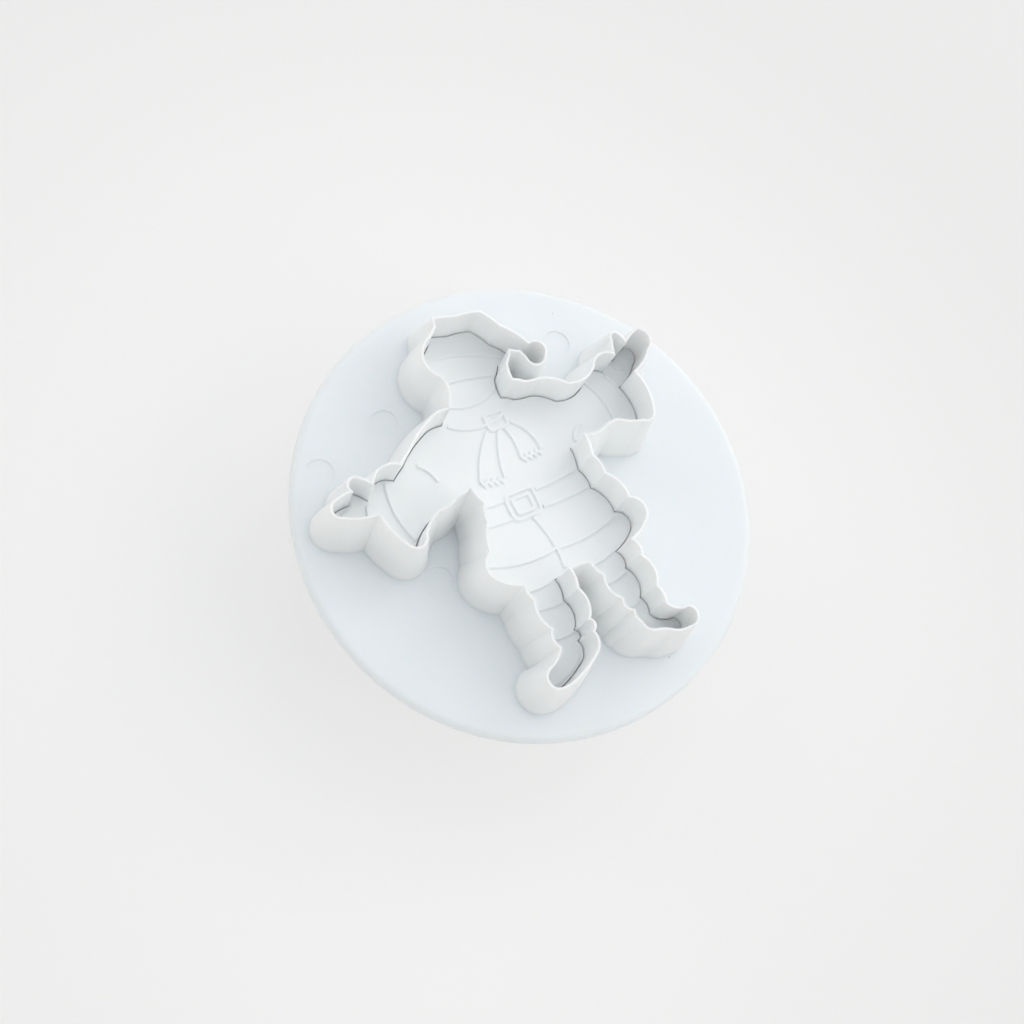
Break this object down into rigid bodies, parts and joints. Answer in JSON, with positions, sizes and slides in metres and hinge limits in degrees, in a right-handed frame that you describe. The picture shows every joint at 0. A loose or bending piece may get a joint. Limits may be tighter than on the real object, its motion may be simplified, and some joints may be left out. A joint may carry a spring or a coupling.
{
  "type": "plunger cutter",
  "caption": "Round plunger cutter in white plastic: a deep blade in the outline of a waving winter figure, with a sprung ejector plate inside it, pushed by a knob on the back.",
  "frame": {"origin": "centre of the knob's flat end, on the plunger axis; the cutter stands on this face", "axes": "+Z along the plunger axis from the knob to the cutting edge, +Y to the figure's head, +X to its raised hand"},
  "size_m": [0.098, 0.098, 0.054],
  "materials": {
    "white_plastic": "moulded white with a fine satin texture",
    "stainless_steel": "bright drawn wire and pressed sheet"
  },
  "bodies": {
    "cutter": {"cutter_body": "white_plastic", "handle_barrel": "white_plastic", "return_spring": "stainless_steel"},
    "plunger": {"ejector_plate": "white_plastic", "plunger_stem": "white_plastic", "spring_washer": "stainless_steel", "plunger_knob": "white_plastic", "knob_screw": "stainless_steel", "knob_plug": "white_plastic"}
  },
  "joints": [
    {"name": "plunger_slide", "type": "slide", "parent": "cutter", "child": "plunger", "axis": [0, 0, 1], "range_m": [0, 0.0095], "stiffness_N_per_m": 440, "springref_m": -0.01, "deforming": ["return_spring"]}
  ]
}
